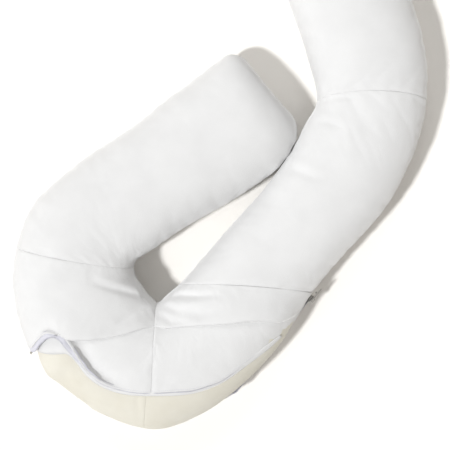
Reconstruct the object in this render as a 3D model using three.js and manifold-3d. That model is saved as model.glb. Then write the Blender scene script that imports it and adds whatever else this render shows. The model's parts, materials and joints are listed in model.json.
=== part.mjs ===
// A J-shaped maternity and nursing pillow, lying on its underside: a fibre-filled tube that hooks
// round at one end and curves over at the other. A white zip-off cover goes over a cream cushion.
// The zip round the hook's bend is open, so the cushion's casing shows there.
// Millimetres, +Z up. The origin is below the middle of the whole pillow, on the surface it lies on.

import * as THREE from "three";
import { mergeVertices } from "three/addons/utils/BufferGeometryUtils.js";
import Module from "manifold-3d";

// ---------------------------------------------------------------- driving dimensions

const sideHeight = 70; // height of the side seams above the floor
const halfHeight = 80; // from the side seams to the crown; the underside is flattened at the floor
const endLength = 70; // the ends round off over this length
const cornerRadius = 34; // of the ends, seen from above
const fabricGap = 0.35; // each side of a seam, between two sewn panels

// How far each skin lies inside the outside of the cover, and its half height at a sewn end.
const coverOutside = { inset: 0, tip: 3 };
const coverInside = { inset: 1.6, tip: 1 };
const guardOutside = { inset: 3, tip: 1 };
const guardInside = { inset: 3.8, tip: 1 };
const casingOutside = { inset: 5.2, tip: 1.6 };
const casingInside = { inset: 6.4, tip: 0.8 };
const fillingOutside = { inset: 7, tip: 1 };

// The edges of the tube at its side seams, in pairs from the hook's end to the head end. They are
// measured from the inner corner of the bend. Between pairs the edges are smooth curves.
const edgePairs = [
  { outer: [158, 510], inner: [290, 350] }, // hook end, its inner corner pressed on the long arm
  { outer: [102, 468], inner: [251, 280] },
  { outer: [30, 414], inner: [160, 212] },
  { outer: [-72, 336], inner: [50, 149] },
  { outer: [-162, 276], inner: [-12, 105] },
  { outer: [-244, 200], inner: [-42, 84] },
  { outer: [-280, 112], inner: [-46, 72] }, // hook seam
  { outer: [-287, 30], inner: [-41, 52] },
  { outer: [-268, -60], inner: [-31, 36] },
  { outer: [-226, -140], inner: [-20, 20] },
  { outer: [-120, -215], inner: [-9, 8] },
  { outer: [0, -255], inner: [0, 1] }, // bend seam
  { outer: [85, -233], inner: [8, 4] },
  { outer: [161, -177], inner: [17, 12] }, // the outer edge is straight from here to the arm seam
  { outer: [240, -77], inner: [28, 22] },
  { outer: [316, 20], inner: [44, 37] }, // arm seam
  { outer: [368, 84], inner: [128, 131] },
  { outer: [421, 146], inner: [206, 218] },
  { outer: [470, 212], inner: [262, 292] },
  { outer: [512, 300], inner: [299, 360] },
  { outer: [538, 402], inner: [320, 402] }, // head seam
  { outer: [535, 505], inner: [299, 500] },
  { outer: [500, 635], inner: [268, 590] },
];
const hookSeam = 6;
const bendSeam = 11;
const straightStart = 13;
const armSeam = 15;
const headSeam = 20;

const headRadius = 520; // of the head end's curve, along its middle
const headSweep = 40; // degrees
const headSteps = 3;

const steps = 12; // facets across the top or the underside, half of them on each side of the crown

const zipStart = 8.25; // where the opening begins, counted in edge pairs
const zipEnd = armSeam;
const openAngle = 70; // how far the top of the cover is drawn back, round the tube, in degrees
const zipHeight = 58; // of the lower row of teeth, above the floor
const zipDrop = 16; // the underside of the cover stops this many degrees below the side seams
const zipDropRun = 0.75; // and gets there over this much of the tube, counted in edge pairs
const tapeWidth = 12;
const tapeThickness = 1;
const teethWidth = 3;
const teethThickness = 2.4;
const guardWidth = 26; // the strip behind the upper teeth
const guardOverlap = 8; // of it behind the cover

const sliderLength = 15;
const sliderHeight = 12;
const sliderDepth = 6.4;
const sliderParked = 14; // from the arm seam to the slider's middle, along the zip
const pullLength = 30;
const pullWidth = 9;
const pullThickness = 1.6;
const bridgeReach = 5; // in front of the slider's plate, for the bridge that the pull hangs from
const bridgeWidth = 4;
const bridgeSpan = 8.4;
const bridgeThickness = 1.2;
const barWidth = 2.6; // of the pull's end, which turns under the bridge
const stopSize = [4, 4.5, 2.8]; // along the zip, up, through the tape

const radians = THREE.MathUtils.degToRad;

// ---------------------------------------------------------------- the tube

function polar(centre, radius, angle) {
  return [centre[0] + radius * Math.cos(angle), centre[1] + radius * Math.sin(angle)];
}

// The head end carries on from the last pair as an arc, and ends in a straight piece.
function withHeadEnd(pairs) {
  const { outer, inner } = pairs.at(-1);
  const across = [outer[0] - inner[0], outer[1] - inner[1]];
  const halfWidth = Math.hypot(...across) / 2;
  const start = Math.atan2(across[1], across[0]);
  const middle = [(outer[0] + inner[0]) / 2, (outer[1] + inner[1]) / 2];
  const centre = polar(middle, -headRadius, start);
  const added = [];
  for (let i = 1; i <= headSteps; i++) {
    const angle = start + (radians(headSweep) * i) / headSteps;
    added.push({
      outer: polar(centre, headRadius + halfWidth, angle),
      inner: polar(centre, headRadius - halfWidth, angle),
    });
  }
  const last = added.at(-1);
  const onward = start + radians(headSweep) + Math.PI / 2;
  added.push({
    outer: polar(last.outer, endLength, onward),
    inner: polar(last.inner, endLength, onward),
  });
  return [...pairs, ...added];
}

const pairs = withHeadEnd(edgePairs);
const lastPair = pairs.length - 1;

function edgeCurve(side) {
  const points = pairs.map((pair) => new THREE.Vector3(pair[side][0], pair[side][1], 0));
  return new THREE.CatmullRomCurve3(points, false, "centripetal");
}

const outerCurve = edgeCurve("outer");
const innerCurve = edgeCurve("inner");
const zipFrom = outerCurve.points[straightStart];
const zipTo = outerCurve.points[armSeam];

// The outer edge at a place along the tube. It is straight beside the slider's travel.
function outerEdge(place) {
  if (place > straightStart && place < armSeam) {
    const share = (place - straightStart) / (armSeam - straightStart);
    return zipFrom.clone().lerp(zipTo, share);
  }
  return outerCurve.getPoint(place / lastPair);
}

// How far through an end zone a place is: 0 at the sewn end, 1 where the tube has its full height.
function endShare(place) {
  return Math.min(1, place, lastPair - place);
}

// The cross-section of one skin at a place along the tube: its middle, the direction across,
// and its half width and half height.
function section(place, skin) {
  const share = endShare(place);
  let at = place;
  let height = halfHeight - skin.inset;
  let cut = 0;
  if (share < 1) {
    const turn = (share * Math.PI) / 2;
    const run = (endLength - skin.inset) * (1 - Math.cos(turn));
    const along = (skin.inset + run) / endLength;
    const radius = cornerRadius - skin.inset;
    at = place < 1 ? along : lastPair - along;
    height = skin.tip + (height - skin.tip) * Math.sin(turn);
    cut = run < radius ? radius - Math.sqrt(radius ** 2 - (radius - run) ** 2) : 0;
  }
  const outer = outerEdge(at);
  const inner = innerCurve.getPoint(at / lastPair);
  const across = outer.clone().sub(inner).normalize();
  return {
    middle: outer.clone().add(inner).multiplyScalar(0.5),
    across,
    onward: new THREE.Vector3(-across.y, across.x, 0),
    halfWidth: outer.distanceTo(inner) / 2 - skin.inset - cut,
    halfHeight: height,
  };
}

// A point of a skin: degrees go from the outer side seam over the crown to the inner one.
function skinPoint(place, skin, degrees, shift = 0) {
  const { middle, across, onward, halfWidth, halfHeight: height } = section(place, skin);
  const angle = radians(degrees);
  const point = middle.clone().addScaledVector(across, halfWidth * Math.cos(angle));
  point.addScaledVector(onward, shift);
  point.z = Math.max(sideHeight + height * Math.sin(angle), skin.inset);
  return point;
}

// ---------------------------------------------------------------- solids

// A closed solid between two grids of points, row by row, with the same number in each row.
function solidBetween(front, back) {
  const rows = front.length;
  const columns = front[0].length;
  const positions = [...front.flat(), ...back.flat()].flatMap((point) => point.toArray());
  const index = [];
  const frontAt = (row, column) => row * columns + column;
  const backAt = (row, column) => rows * columns + row * columns + column;
  const quad = (a, b, c, d) => index.push(a, b, c, a, c, d);
  for (let row = 0; row < rows - 1; row++) {
    for (let column = 0; column < columns - 1; column++) {
      quad(
        frontAt(row, column),
        frontAt(row + 1, column),
        frontAt(row + 1, column + 1),
        frontAt(row, column + 1),
      );
      quad(
        backAt(row, column),
        backAt(row, column + 1),
        backAt(row + 1, column + 1),
        backAt(row + 1, column),
      );
    }
    quad(frontAt(row, 0), backAt(row, 0), backAt(row + 1, 0), frontAt(row + 1, 0));
    const end = columns - 1;
    quad(frontAt(row, end), frontAt(row + 1, end), backAt(row + 1, end), backAt(row, end));
  }
  for (let column = 0; column < columns - 1; column++) {
    const last = rows - 1;
    quad(frontAt(0, column), frontAt(0, column + 1), backAt(0, column + 1), backAt(0, column));
    quad(
      frontAt(last, column),
      backAt(last, column),
      backAt(last, column + 1),
      frontAt(last, column + 1),
    );
  }
  const geometry = new THREE.BufferGeometry();
  geometry.setAttribute("position", new THREE.Float32BufferAttribute(positions, 3));
  geometry.setIndex(index);
  return facingOut(geometry);
}

// Turns a closed geometry the right way round if its faces point inwards.
function facingOut(geometry) {
  const position = geometry.getAttribute("position");
  const index = geometry.index.array;
  const corner = [new THREE.Vector3(), new THREE.Vector3(), new THREE.Vector3()];
  let volume = 0;
  for (let i = 0; i < index.length; i += 3) {
    corner.forEach((point, k) => point.fromBufferAttribute(position, index[i + k]));
    volume += corner[0].dot(corner[1].cross(corner[2]));
  }
  if (volume < 0) {
    for (let i = 0; i < index.length; i += 3) {
      [index[i + 1], index[i + 2]] = [index[i + 2], index[i + 1]];
    }
  }
  geometry.computeVertexNormals();
  return geometry;
}

// The places from one seam to the next: close together in the pillow's ends and where the opening
// of the zip begins and stops, half a pair apart along the rest of it, and else one to a pair.
function placesBetween(from, to) {
  const places = [];
  for (let pair = from; pair < to; pair++) {
    const end = pair === 0 || pair === lastPair - 1;
    const openingEnd = pair === Math.floor(zipStart) || pair === zipEnd - 1;
    const opened = pair > zipStart && pair < zipEnd;
    const count = end || openingEnd ? 4 : opened ? 2 : 1;
    for (let i = 0; i < count; i++) places.push(pair + i / count);
  }
  return [...places, to];
}

function grid(places, skin, startAngle, endAngle) {
  const last = places.length - 1;
  return places.map((place, row) => {
    const sewn = endShare(place) > 0;
    const shift = !sewn ? 0 : row === 0 ? fabricGap : row === last ? -fabricGap : 0;
    const from = startAngle(place);
    const to = endAngle(place);
    const crown = 90 * Math.sign(to);
    const half = steps / 2;
    return Array.from({ length: steps + 1 }, (_, i) => {
      const before = from + ((crown - from) * i) / half;
      const after = crown + ((to - crown) * (i - half)) / half;
      return skinPoint(place, skin, i < half ? before : after, shift);
    });
  });
}

const seamAngle = THREE.MathUtils.radToDeg(fabricGap / halfHeight);
const constant = (value) => () => value;

// How far the opening has drawn back the top of the cover at a place, in degrees.
function drawnBack(place) {
  const share = (place - zipStart) / (zipEnd - zipStart);
  if (share <= 0 || share >= 1) return 0;
  return openAngle * Math.sin(Math.PI * share) ** 0.75;
}

function onTop(place) {
  return seamAngle + drawnBack(place);
}

function underneath(place) {
  const run = (place - zipStart) / zipDropRun;
  return -seamAngle - zipDrop * THREE.MathUtils.clamp(run, 0, 1);
}

function topPanel(from, to, outside, inside, start = constant(seamAngle)) {
  const places = placesBetween(from, to);
  const end = constant(180 - seamAngle);
  return solidBetween(grid(places, outside, start, end), grid(places, inside, start, end));
}

function bottomPanel(from, to, outside, inside, start = constant(-seamAngle)) {
  const places = placesBetween(from, to);
  const end = constant(seamAngle - 180);
  return solidBetween(grid(places, outside, start, end), grid(places, inside, start, end));
}

// A block of filling: its upper and lower halves meet at the side seams.
function filling(from, to) {
  const places = placesBetween(from, to);
  const upper = grid(places, fillingOutside, constant(seamAngle), constant(180 - seamAngle));
  const lower = grid(places, fillingOutside, constant(-seamAngle), constant(seamAngle - 180));
  return solidBetween(upper, lower);
}

// ---------------------------------------------------------------- zip

// Degrees round the tube for a length of fabric at a place.
function degreesFor(length, place) {
  return THREE.MathUtils.radToDeg(length / section(place, coverOutside).halfWidth);
}

const upperZipPlaces = placesBetween(Math.floor(zipStart), zipEnd).slice(2, -1);

// A ribbon on the tube beside the drawn-back edge of the cover, between two distances from it.
function edgeRibbon(outside, inside, near, far) {
  const row = (place, skin) =>
    [0, 1, 2].map((i) => {
      const distance = near + ((far - near) * i) / 2;
      return skinPoint(place, skin, onTop(place) - degreesFor(distance, place));
    });
  return solidBetween(
    upperZipPlaces.map((place) => row(place, outside)),
    upperZipPlaces.map((place) => row(place, inside)),
  );
}

const zipDirection = zipTo.clone().sub(zipFrom).normalize();
const zipOutward = new THREE.Vector3(zipDirection.y, -zipDirection.x, 0);
const lowerZipPlaces = [8.5, 9, 9.5, 10, 10.5, 11, 11.5, 12, 12.5, 13, 13.5, 14, 14.5, 14.96];

// A ribbon that stands on edge outside the underside of the cover, along the lower half of the zip.
function standingRibbon(bottom, top, thickness) {
  const face = (offset) =>
    lowerZipPlaces.map((place) => {
      const { across } = section(place, coverOutside);
      const straight = place >= straightStart;
      const outward = straight ? zipOutward : across;
      const base = outerEdge(place).clone().addScaledVector(outward, offset);
      return [bottom, top].map((z) => base.clone().setZ(z));
    });
  return solidBetween(face(tapePlane + thickness / 2), face(tapePlane - thickness / 2));
}

const tapePlane = 0.8; // from the outer edge of the tube to the middle of the lower tape
const tapeGap = 0.4; // between a tape and its teeth

// ---------------------------------------------------------------- metal parts

const wasm = await Module();
wasm.setup();

function toSolid(geometry) {
  const bare = geometry.index ? geometry.toNonIndexed() : geometry.clone();
  bare.deleteAttribute("normal");
  bare.deleteAttribute("uv");
  const merged = mergeVertices(bare, 1e-4);
  return new wasm.Manifold(
    new wasm.Mesh({
      numProp: 3,
      vertProperties: merged.getAttribute("position").array,
      triVerts: new Uint32Array(merged.index.array),
    }),
  );
}

function toGeometry(solid) {
  const mesh = solid.getMesh();
  const geometry = new THREE.BufferGeometry();
  geometry.setAttribute("position", new THREE.BufferAttribute(mesh.vertProperties, 3));
  geometry.setIndex(new THREE.BufferAttribute(mesh.triVerts, 1));
  geometry.computeVertexNormals();
  return geometry;
}

function box(size, centre) {
  return toSolid(new THREE.BoxGeometry(...size).translate(...centre));
}

function roundedPlate(length, height, thickness, radius) {
  const shape = new THREE.Shape();
  const x = length / 2 - radius;
  const y = height / 2 - radius;
  shape.absarc(x, y, radius, 0, Math.PI / 2);
  shape.absarc(-x, y, radius, Math.PI / 2, Math.PI);
  shape.absarc(-x, -y, radius, Math.PI, 1.5 * Math.PI);
  shape.absarc(x, -y, radius, 1.5 * Math.PI, 2 * Math.PI);
  const plate = new THREE.ExtrudeGeometry(shape, {
    depth: thickness,
    bevelEnabled: false,
    curveSegments: 4,
  });
  return plate.translate(0, 0, -thickness / 2);
}

// The slider in its own frame: x along the zip, y up across it, z outwards through the tape.
// Two plates with a post between them, and a bridge in front for the pull.
function sliderBody() {
  const plateThickness = 1.2;
  const plateAt = (sliderDepth - plateThickness) / 2;
  const channel = sliderDepth - 2 * plateThickness;
  const front = toSolid(
    roundedPlate(sliderLength, sliderHeight, plateThickness, 2.5).translate(0, 0, plateAt),
  );
  const back = toSolid(
    roundedPlate(sliderLength, sliderHeight, plateThickness, 2.5).translate(0, 0, -plateAt),
  );
  const flangeHeight = 1.4;
  const flangeAt = (sliderHeight - flangeHeight) / 2;
  const lip = (channel - 1.8) / 2;
  const flanges = [-1, 1].flatMap((up) =>
    [-1, 1].map((side) =>
      box(
        [sliderLength - 5, flangeHeight, lip + 0.2],
        [0, up * flangeAt, side * (channel / 2 - lip / 2 + 0.1)],
      ),
    ),
  );
  const post = box([2.6, 2.2, channel + 0.4], [sliderLength / 2 - 2.2, 1.5, 0]);
  const face = sliderDepth / 2;
  const sunk = 0.2; // of each bridge leg in the plate
  const legAt = (bridgeSpan - bridgeThickness) / 2;
  const legs = [-1, 1].map((side) =>
    box(
      [bridgeThickness, bridgeWidth, bridgeReach + sunk],
      [side * legAt, 0, face + (bridgeReach - sunk) / 2],
    ),
  );
  const strap = box(
    [bridgeSpan, bridgeWidth, bridgeThickness],
    [0, 0, face + bridgeReach - bridgeThickness / 2],
  );
  return [back, ...flanges, post, ...legs, strap].reduce(
    (whole, piece) => whole.add(piece),
    front,
  );
}

// The pull in its own frame: a flat tab that lies along the zip. The bar at its end turns under
// the bridge, whose leg comes through the eye beside it. The far end has a round hole.
function pullTab() {
  const plate = toSolid(
    roundedPlate(pullLength, pullWidth, pullThickness, 3).translate(
      (pullLength - barWidth) / 2,
      0,
      0,
    ),
  );
  const eyeLength = 5.4;
  const eye = box(
    [eyeLength, bridgeWidth + 1.2, pullThickness + 2],
    [(barWidth + eyeLength) / 2, 0, 0],
  );
  const hole = toSolid(
    new THREE.CylinderGeometry(2.2, 2.2, pullThickness + 2, 16)
      .rotateX(Math.PI / 2)
      .translate(pullLength - 7, 0, 0),
  );
  return plate.subtract(eye).subtract(hole);
}

// ---------------------------------------------------------------- materials

const fabricRoughness = 0.92;
const whiteVelour = new THREE.MeshStandardMaterial({ color: 0xf0f0ee, roughness: fabricRoughness });
const whiteLining = new THREE.MeshStandardMaterial({ color: 0xe6e6e6, roughness: fabricRoughness });
const creamCotton = new THREE.MeshStandardMaterial({ color: 0xefebdf, roughness: 0.8 });
const fibre = new THREE.MeshStandardMaterial({ color: 0xf7f7f7, roughness: 1 });
const zipTape = new THREE.MeshStandardMaterial({ color: 0xe2e2ec, roughness: 0.75 });
const nylonTeeth = new THREE.MeshStandardMaterial({ color: 0xd6d6e0, roughness: 0.4 });
const castZinc = new THREE.MeshStandardMaterial({ color: 0x9a9a9c, roughness: 0.3, metalness: 1 });

function named(name, geometry, material) {
  const mesh = new THREE.Mesh(geometry, material);
  mesh.name = name;
  return mesh;
}

// ---------------------------------------------------------------- assembly

const pillow = new THREE.Group();

// Each layer of fabric is cut in the same five lengths, with a top and an underside each.
const lengths = [
  { name: "hook", from: 0, to: hookSeam },
  { name: "bend_left", from: hookSeam, to: bendSeam },
  { name: "bend_right", from: bendSeam, to: armSeam },
  { name: "long_arm", from: armSeam, to: headSeam },
  { name: "head", from: headSeam, to: lastPair },
];
for (const { name, from, to } of lengths) {
  const opened = name.startsWith("bend");
  const top = opened ? onTop : undefined;
  const under = opened ? underneath : undefined;
  const cover = [from, to, coverOutside, coverInside];
  const casing = [from, to, casingOutside, casingInside];
  pillow.add(
    named(`cover_top_${name}`, topPanel(...cover, top), whiteVelour),
    named(`cover_under_${name}`, bottomPanel(...cover, under), whiteVelour),
    named(`casing_top_${name}`, topPanel(...casing), creamCotton),
    named(`casing_under_${name}`, bottomPanel(...casing), creamCotton),
  );
}
pillow.add(
  named("filling_hook", filling(0, hookSeam), fibre),
  named("filling_bend", filling(hookSeam, armSeam), fibre),
  named("filling_long_arm", filling(armSeam, headSeam), fibre),
  named("filling_head", filling(headSeam, lastPair), fibre),
);

const tapeFace = { inset: 0.5, tip: 1 };
const tapeBack = { inset: 0.5 + tapeThickness, tip: 1 };
const teethFace = { inset: -0.2, tip: 1 };
const teethBack = { inset: teethThickness - 0.2, tip: 1 };
const teethFrom = tapeWidth + 2 * tapeGap;
pillow.add(
  named("zip_upper_tape", edgeRibbon(tapeFace, tapeBack, tapeGap, tapeWidth + tapeGap), zipTape),
  named(
    "zip_upper_teeth",
    edgeRibbon(teethFace, teethBack, teethFrom, teethFrom + teethWidth),
    nylonTeeth,
  ),
  named(
    "zip_guard_strip",
    edgeRibbon(guardOutside, guardInside, -guardOverlap, guardWidth - guardOverlap),
    whiteLining,
  ),
  named(
    "zip_lower_teeth",
    standingRibbon(zipHeight - teethWidth, zipHeight, teethThickness),
    nylonTeeth,
  ),
  named(
    "zip_lower_tape",
    standingRibbon(
      zipHeight - teethWidth - tapeGap - tapeWidth,
      zipHeight - teethWidth - tapeGap,
      tapeThickness,
    ),
    zipTape,
  ),
);

// The slider's own frame, on the lower row of teeth near the arm seam. Its front faces outwards.
const sliderFrame = new THREE.Group();
const sliderUp = 2.2; // the lower teeth run through the lower half of the channel
sliderFrame.position
  .copy(zipTo)
  .addScaledVector(zipDirection, -sliderParked)
  .addScaledVector(zipOutward, tapePlane)
  .setZ(zipHeight - teethWidth / 2 + sliderUp);
sliderFrame.setRotationFromMatrix(
  new THREE.Matrix4().makeBasis(zipDirection, new THREE.Vector3(0, 0, 1), zipOutward),
);
const pullAt = (sliderDepth + bridgeReach - bridgeThickness) / 2;
const pull = named("zip_pull_tab", toGeometry(pullTab()), castZinc);
pull.position.set(0, 0, pullAt);
sliderFrame.add(named("zip_slider", toGeometry(sliderBody()), castZinc), pull);
pillow.add(sliderFrame);

// Stops: one joins both rows where the zip starts, and one ends each row at the other end.
function stop(name, at, along, up) {
  const mesh = named(name, new THREE.BoxGeometry(...stopSize), castZinc);
  const through = along.clone().cross(up).normalize();
  mesh.position.copy(at);
  mesh.setRotationFromMatrix(new THREE.Matrix4().makeBasis(along, up, through));
  return mesh;
}
const vertical = new THREE.Vector3(0, 0, 1);
const startStopAt = zipTo
  .clone()
  .addScaledVector(zipDirection, stopSize[0] / 2)
  .addScaledVector(zipOutward, tapePlane + stopSize[2] / 2)
  .setZ(zipHeight + sliderUp);
const lowerEnd = lowerZipPlaces[0];
const lowerAlong = outerEdge(lowerEnd).sub(outerEdge(lowerEnd + 0.05)).normalize();
const lowerStopAt = outerEdge(lowerEnd)
  .addScaledVector(section(lowerEnd, coverOutside).across, tapePlane)
  .addScaledVector(lowerAlong, stopSize[0] / 2 + fabricGap)
  .setZ(zipHeight - teethWidth / 2);
const upperEnd = upperZipPlaces[0];
const upperRow = (place) =>
  skinPoint(
    place,
    { inset: teethThickness / 2 - 0.2, tip: 1 },
    onTop(place) - degreesFor(teethFrom + teethWidth / 2, place),
  );
const upperAlong = upperRow(upperEnd).sub(upperRow(upperEnd + 0.05)).normalize();
const round = section(upperEnd, coverOutside).across.clone().multiplyScalar(-1).setZ(1);
const upperUp = round.addScaledVector(upperAlong, -round.dot(upperAlong)).normalize();
const upperStopAt = upperRow(upperEnd).addScaledVector(upperAlong, stopSize[0] / 2 + 2 * fabricGap);
pillow.add(
  stop("zip_start_stop", startStopAt, zipDirection, vertical),
  stop("zip_lower_end_stop", lowerStopAt, lowerAlong, vertical),
  stop("zip_upper_end_stop", upperStopAt, upperAlong, upperUp),
);

// The origin goes below the middle of the whole pillow.
pillow.updateMatrixWorld(true);
const middle = new THREE.Box3().setFromObject(pillow).getCenter(new THREE.Vector3());
const placed = new THREE.Group();
pillow.position.set(-middle.x, -middle.y, 0);
placed.add(pillow);

export default placed;
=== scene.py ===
import json
import math
import time

import bpy
import numpy as np
from mathutils import Matrix, Vector, noise
from mathutils.bvhtree import BVHTree

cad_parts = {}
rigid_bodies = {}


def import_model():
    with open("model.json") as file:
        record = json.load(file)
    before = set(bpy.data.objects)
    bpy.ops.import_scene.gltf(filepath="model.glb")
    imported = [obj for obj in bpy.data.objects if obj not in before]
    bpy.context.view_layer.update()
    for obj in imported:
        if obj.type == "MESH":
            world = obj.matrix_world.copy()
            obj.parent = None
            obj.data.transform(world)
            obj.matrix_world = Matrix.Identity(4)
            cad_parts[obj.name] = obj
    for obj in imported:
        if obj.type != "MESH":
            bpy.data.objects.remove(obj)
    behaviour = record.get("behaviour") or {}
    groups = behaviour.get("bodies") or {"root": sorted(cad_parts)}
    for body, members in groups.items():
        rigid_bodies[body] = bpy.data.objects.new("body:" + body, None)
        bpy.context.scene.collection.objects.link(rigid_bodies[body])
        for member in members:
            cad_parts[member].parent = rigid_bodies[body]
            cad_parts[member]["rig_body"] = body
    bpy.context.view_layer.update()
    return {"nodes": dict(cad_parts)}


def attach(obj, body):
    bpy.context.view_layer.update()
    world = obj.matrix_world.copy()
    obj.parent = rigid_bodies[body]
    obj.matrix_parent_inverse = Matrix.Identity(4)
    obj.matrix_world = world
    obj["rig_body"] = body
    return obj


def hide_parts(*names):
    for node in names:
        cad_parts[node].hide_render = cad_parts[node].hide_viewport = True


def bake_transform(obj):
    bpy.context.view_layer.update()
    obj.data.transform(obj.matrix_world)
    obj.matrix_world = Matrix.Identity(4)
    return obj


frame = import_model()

bpy.ops.object.select_all(action="DESELECT")
startedAt = time.time()


def report(stage):
    print(f"{stage}: {time.time() - startedAt:.0f} s")


# The tube, in millimetres. Its edges at the side seams run in pairs from the hook's end to the
# head end, measured from the inner corner of the bend, whose place in the frame is bendCorner.
tube = {
    "bendCorner": (-0.1255, -0.3910),
    "outer": [
        (158, 510), (102, 468), (30, 414), (-72, 336), (-162, 276), (-244, 200), (-280, 112),
        (-287, 30), (-268, -60), (-226, -140), (-120, -215), (0, -255), (85, -233), (161, -177),
        (243, -82), (311, 20), (366, 88), (421, 148), (470, 212), (512, 300), (538, 402),
        (535, 505), (500, 635), (455, 776), (379, 903), (275, 1009), (221, 1053),
    ],
    "inner": [
        (290, 350), (251, 280), (160, 212), (50, 149), (-12, 105), (-42, 84), (-46, 72),
        (-41, 52), (-31, 36), (-20, 20), (-9, 8), (0, 1), (8, 4), (17, 12), (28, 22), (44, 37),
        (128, 131), (206, 218), (262, 292), (299, 360), (320, 402), (299, 500), (268, 590),
        (240, 679), (192, 759), (126, 826), (72, 870),
    ],
    # the cushion bulges out of the opened cover, and its edge there runs a little differently
    "cushionOuter": {7: (-284, 30), 8: (-254, -58), 9: (-224, -144), 10: (-122, -221),
                     11: (-2, -257), 12: (86, -229), 13: (162, -177), 14: (248, -88)},
    "straightFrom": 9,
    "straightPull": 0.85,
    # the slider's way along the closed zip is straight between these places
    "sliderWay": [(161, -177), (316, 20)],
    "sliderPlaces": (13, 15),
    "sideHeight": 70,
    "fullness": 0.045,  # how much the section bulges beyond an ellipse
    "endFullness": 0.72,
    "halfHeight": 80,
    "endLength": 70,
    "endTip": 0.4,
    "cornerRadius": 34,
}
sections = {
    "hook": (0, 6),
    "bend_left": (6, 10.9),
    "bend_right": (10.9, 15),
    "long_arm": (15, 20),
    "head": (20, 26),
}
casingSections = dict(sections, bend_left=(6, 10.8), bend_right=(10.8, 15))
lastPlace = 26


# A smooth curve through the points, as the side seams run
def alongCurve(points, place):
    points = np.array(points, float)
    ends = np.vstack([2 * points[0] - points[1], points, 2 * points[-1] - points[-2]])
    i = np.clip(np.floor(place).astype(int), 0, len(points) - 2)
    w = (place - i)[:, None]
    p = [ends[i + k] for k in range(4)]
    d = [np.sqrt(np.linalg.norm(p[k + 1] - p[k], axis=1, keepdims=True)) for k in range(3)]
    t1 = ((p[1] - p[0]) / d[0] - (p[2] - p[0]) / (d[0] + d[1]) + (p[2] - p[1]) / d[1]) * d[1]
    t2 = ((p[2] - p[1]) / d[1] - (p[3] - p[1]) / (d[1] + d[2]) + (p[3] - p[2]) / d[2]) * d[1]
    step = p[2] - p[1]
    return p[1] + t1 * w + (3 * step - 2 * t1 - t2) * w**2 + (t1 + t2 - 2 * step) * w**3


def outerEdge(place, cushion=0, besideSlider=False):
    edge = alongCurve(tube["outer"], place)
    bulging = [tube["cushionOuter"].get(k, point) for k, point in enumerate(tube["outer"])]
    share = np.reshape(cushion, (-1, 1))
    bulge = alongCurve(bulging, place)
    # pulled nearly straight between two of its points
    t = (place - tube["straightFrom"])[:, None]
    a, b = (np.array(bulging[tube["straightFrom"] + k], float) for k in (0, 1))
    straight = tube["straightPull"] * smooth(0, 0.2, t) * smooth(1, 0.8, t)
    bulge = bulge * (1 - straight) + (a + (b - a) * t) * straight
    edge = edge * (1 - share) + bulge * share
    if besideSlider:
        a, b = np.array(tube["sliderWay"], float)
        first, last = tube["sliderPlaces"]
        near = (smooth(first - 0.15, first, place) * smooth(last, last - 0.08, place))[:, None]
        way = a + (b - a) * ((place - first) / (last - first))[:, None]
        edge = edge * (1 - near) + way * near
    return edge


# The opened cover hangs loose under the cushion's edge, and is tight again beside the slider's way.
# Places come in pairs, from where a change begins to where it is complete.
looseRim = {
    "angle": 29, "inset": 3, "tightAngle": 16,
    "loosens": (8.2, 8.6), "tightens": (13.1, 12.1),
    "bulges": (8.3, 8.6), "flattens": (13.4, 12.8), "opens": (8.2, 8.3),
    "reach": (75, 40),
}


def looseShare(place):
    return smooth(*looseRim["loosens"], place) * smooth(*looseRim["tightens"], place)


def looseSkin(place, angle, inset):
    loose = looseShare(place)
    bulging = smooth(*looseRim["bulges"], place) * smooth(*looseRim["flattens"], place)
    tight = skinPoints(place, angle, inset, bulging, True)
    slack = skinPoints(place, angle, inset + looseRim["inset"], 1)
    near = loose[:, None] * smooth(*looseRim["reach"], np.abs(angle))
    return tight * (1 - near[..., None]) + slack * near[..., None]


# Points of a skin that lies inset mm inside the cover's outside. Angles go from the outer side
# seam over the crown to the inner one, and below the seams they are negative.
def skinPoints(place, angle, inset, cushion=0, besideSlider=False):
    place = np.asarray(place, float)
    share = np.clip(np.minimum(place, lastPlace - place), 0, 1)
    turn = share * math.pi / 2
    run = (tube["endLength"] - inset) * (1 - np.cos(turn))
    along = (inset + run) / tube["endLength"]
    at = np.where(place < 1, along, np.where(place > lastPlace - 1, lastPlace - along, place))
    tip = tube["endTip"]
    height = tip + (tube["halfHeight"] - inset - tip) * np.sin(turn) ** tube["endFullness"]
    radius = tube["cornerRadius"] - inset
    cut = radius - np.sqrt(radius**2 - np.clip(radius - run, 0, radius) ** 2)
    outer, inner = outerEdge(at, cushion, besideSlider), alongCurve(tube["inner"], at)
    across = outer - inner
    width = np.linalg.norm(across, axis=1)
    across /= width[:, None]
    half = width / 2 - inset - np.where(share < 1, cut, 0)
    turned = np.radians(angle)
    full = 1 + tube["fullness"] * np.sin(2 * turned) ** 2
    points = np.zeros(angle.shape + (3,))
    reach = (half[:, None] * full * np.cos(turned))[..., None]
    points[..., :2] = ((outer + inner) / 2)[:, None, :] + across[:, None, :] * reach
    points[..., 2] = tube["sideHeight"] + height[:, None] * full * np.sin(turned)
    points[..., 2] = softFloor(points[..., 2], inset)
    return points


# Cloth that meets the floor turns flat along it over a few millimetres
def softFloor(z, floor):
    turn = 2.5
    return floor + turn * np.logaddexp(0, (z - floor - 1) / turn)


def smooth(a, b, x):
    t = np.clip((x - a) / (b - a), 0, 1)
    return t * t * (3 - 2 * t)


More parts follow.
